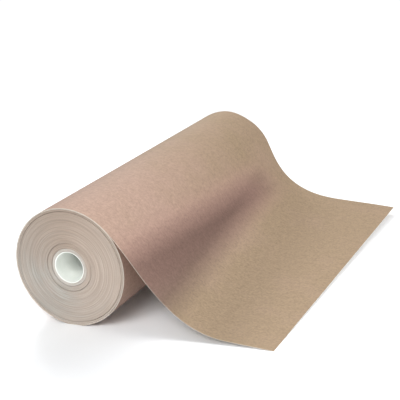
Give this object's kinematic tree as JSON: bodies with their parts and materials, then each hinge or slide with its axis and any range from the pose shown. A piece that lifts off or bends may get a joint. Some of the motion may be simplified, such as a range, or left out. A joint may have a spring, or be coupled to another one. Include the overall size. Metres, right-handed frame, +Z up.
{
  "type": "wrapping paper roll",
  "caption": "Thick roll of plain brown wrapping paper on a board core, lying on its side with the free sheet drawn off over the top and curving down to lie flat.",
  "frame": {"origin": "middle of the footprint, on the surface the roll lies on", "axes": "+Z up, +Y along the roll's axis towards its far end, +X the way the free sheet is drawn off"},
  "size_m": [0.339, 0.5, 0.15],
  "materials": {
    "wrapping_paper": "matte",
    "wound_edges": "matte",
    "core_board": "matte",
    "core_liner": "matte"
  },
  "bodies": {
    "outer_turns": {"slack_turns": "wound_edges", "last_turn": "wrapping_paper"},
    "roll": {"core_liner": "core_liner", "core_board": "core_board", "tight_start": "wound_edges", "main_winding": "wound_edges"},
    "sheet_slope": {"sheet_slope": "wrapping_paper"},
    "sheet_end": {"sheet_end": "wrapping_paper"}
  },
  "joints": [
    {"name": "roll_turn", "type": "hinge", "parent": "outer_turns", "child": "roll", "pos_m": [-0.0945, 0, 0.075], "axis": [0, 1, 0], "continuous": true},
    {"name": "sheet_lift", "type": "hinge", "parent": "outer_turns", "child": "sheet_slope", "pos_m": [-0.04383, 0, 0.1303], "axis": [0, -1, 0], "range_deg": [0, 75]},
    {"name": "sheet_end_lift", "type": "hinge", "parent": "sheet_slope", "child": "sheet_end", "pos_m": [0.1085, 0, 0.0056], "axis": [0, -1, 0], "range_deg": [0, 60]}
  ]
}
